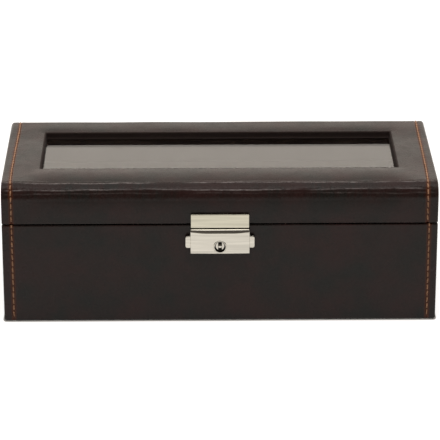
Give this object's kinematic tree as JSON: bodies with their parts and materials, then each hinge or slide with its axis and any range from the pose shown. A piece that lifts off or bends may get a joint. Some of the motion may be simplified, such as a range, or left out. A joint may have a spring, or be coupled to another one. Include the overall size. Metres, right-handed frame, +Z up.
{
  "type": "watch display box",
  "caption": "Stitched leatherette display box with a glazed hinged lid, cushioned compartments and a nickel front lock with side push catches.",
  "frame": {"origin": "middle of the underside, on the surface the box stands on", "axes": "+X to the box's right seen from its front, +Y from the front to the back, +Z up"},
  "size_m": [0.3, 0.1413, 0.1],
  "materials": {
    "leatherette": "satin, grained, dark brown",
    "fibreboard": "raw medium-density fibreboard",
    "velour": "short velour, dark brown",
    "velour_board": "board covered with dark brown velour",
    "felt": "felt",
    "cushion_velour": "padded velour",
    "glass": "clear float glass",
    "nickel": "polished nickel plate",
    "plated_steel": "zinc-plated steel",
    "hinge_nickel": "nickel-plated steel"
  },
  "bodies": {
    "base": {"base_floor_board": "fibreboard", "base_front_board": "fibreboard", "base_back_board": "fibreboard", "base_left_board": "fibreboard", "base_right_board": "fibreboard", "base_front_cover": "leatherette", "base_back_cover": "leatherette", "base_left_cover": "leatherette", "base_right_cover": "leatherette", "base_underfelt": "felt", "base_liner": "velour", "divider_1": "velour", "divider_2": "velour", "divider_3": "velour", "divider_4": "velour", "cushion_1": "cushion_velour", "cushion_2": "cushion_velour", "cushion_3": "cushion_velour", "cushion_4": "cushion_velour", "cushion_5": "cushion_velour", "lock_back_plate": "plated_steel", "lock_cover": "nickel", "lock_screws": "plated_steel", "spring_post": "plated_steel", "key_pin": "nickel", "catch_spring_left": "plated_steel", "catch_spring_right": "plated_steel", "hinge_base_leaf_left": "hinge_nickel", "hinge_base_leaf_right": "hinge_nickel", "hinge_pin_left": "hinge_nickel", "hinge_pin_right": "hinge_nickel", "hinge_base_screws": "plated_steel"},
    "lid": {"lid_top_board": "fibreboard", "lid_front_board": "fibreboard", "lid_back_board": "fibreboard", "lid_left_board": "fibreboard", "lid_right_board": "fibreboard", "lid_wrap": "leatherette", "lid_left_cover": "leatherette", "lid_right_cover": "leatherette", "lid_liner": "velour", "glass_pane": "glass", "glass_frame": "velour_board", "glass_frame_screws": "plated_steel", "hasp_plate": "nickel", "hasp_tongue": "plated_steel", "hasp_studs": "plated_steel", "hinge_lid_leaf_left": "hinge_nickel", "hinge_lid_leaf_right": "hinge_nickel", "hinge_lid_screws": "plated_steel"},
    "catch_left": {"catch_left": "nickel"},
    "catch_right": {"catch_right": "nickel"},
    "key_barrel": {"key_barrel": "nickel"}
  },
  "joints": [
    {"name": "lid_hinge", "type": "hinge", "parent": "base", "child": "lid", "pos_m": [0, 0.0678, 0.0715], "axis": [-1, 0, 0], "range_deg": [0, 95]},
    {"name": "catch_left_press", "type": "slide", "parent": "base", "child": "catch_left", "axis": [1, 0, 0], "range_m": [0, 0.0025], "stiffness_N_per_m": 300, "springref_m": -0.002, "deforming": ["catch_spring_left"]},
    {"name": "catch_right_press", "type": "slide", "parent": "base", "child": "catch_right", "axis": [-1, 0, 0], "range_m": [0, 0.0025], "stiffness_N_per_m": 300, "springref_m": -0.002, "deforming": ["catch_spring_right"]},
    {"name": "key_turn", "type": "hinge", "parent": "base", "child": "key_barrel", "pos_m": [0, -0.0685, 0.05655], "axis": [0, -1, 0], "range_deg": [0, 90]}
  ]
}
